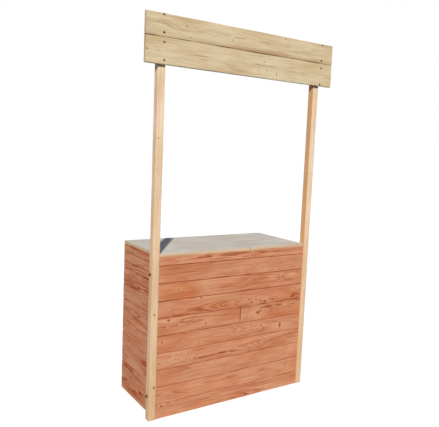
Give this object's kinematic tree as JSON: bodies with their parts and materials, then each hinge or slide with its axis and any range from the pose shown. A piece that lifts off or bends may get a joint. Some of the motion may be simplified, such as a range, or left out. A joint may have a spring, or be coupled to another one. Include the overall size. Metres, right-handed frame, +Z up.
{
  "type": "wooden market stall",
  "caption": "Free-standing wooden market stall: a board-clad counter with a flat worktop and an open back, and tall front posts that carry a planked header.",
  "frame": {"origin": "on the ground, under the middle of the stall's bounding box", "axes": "+Z up, +X to the customer's right, -Y towards the customer; the open back faces +Y"},
  "size_m": [1.36, 0.536, 2.33],
  "materials": {
    "wall_boards": "reddish softwood, planed",
    "pine_posts": "planed, bare",
    "header_planks": "treated, planed",
    "worktop_panel": "weathered",
    "frame_battens": "sawn, bare"
  },
  "bodies": {
    "root": {"back_left_batten": "frame_battens", "back_right_batten": "frame_battens", "back_top_rail": "frame_battens", "front_board_01": "wall_boards", "front_board_02": "wall_boards", "front_board_03": "wall_boards", "front_board_04": "wall_boards", "front_board_05": "wall_boards", "front_board_06_left": "wall_boards", "front_board_06_right": "wall_boards", "front_board_07": "wall_boards", "front_board_08": "wall_boards", "front_board_09": "wall_boards", "front_board_10": "wall_boards", "front_left_batten": "frame_battens", "front_middle_batten": "frame_battens", "front_right_batten": "frame_battens", "header_lower_plank": "header_planks", "header_upper_plank": "header_planks", "left_board_01": "wall_boards", "left_board_02": "wall_boards", "left_board_03": "wall_boards", "left_board_04": "wall_boards", "left_board_05": "wall_boards", "left_board_06": "wall_boards", "left_board_07": "wall_boards", "left_board_08": "wall_boards", "left_board_09": "wall_boards", "left_board_10": "wall_boards", "left_post": "pine_posts", "right_board_01": "wall_boards", "right_board_02": "wall_boards", "right_board_03": "wall_boards", "right_board_04": "wall_boards", "right_board_05": "wall_boards", "right_board_06": "wall_boards", "right_board_07": "wall_boards", "right_board_08": "wall_boards", "right_board_09": "wall_boards", "right_board_10": "wall_boards", "right_post": "pine_posts", "worktop": "worktop_panel"}
  },
  "joints": []
}
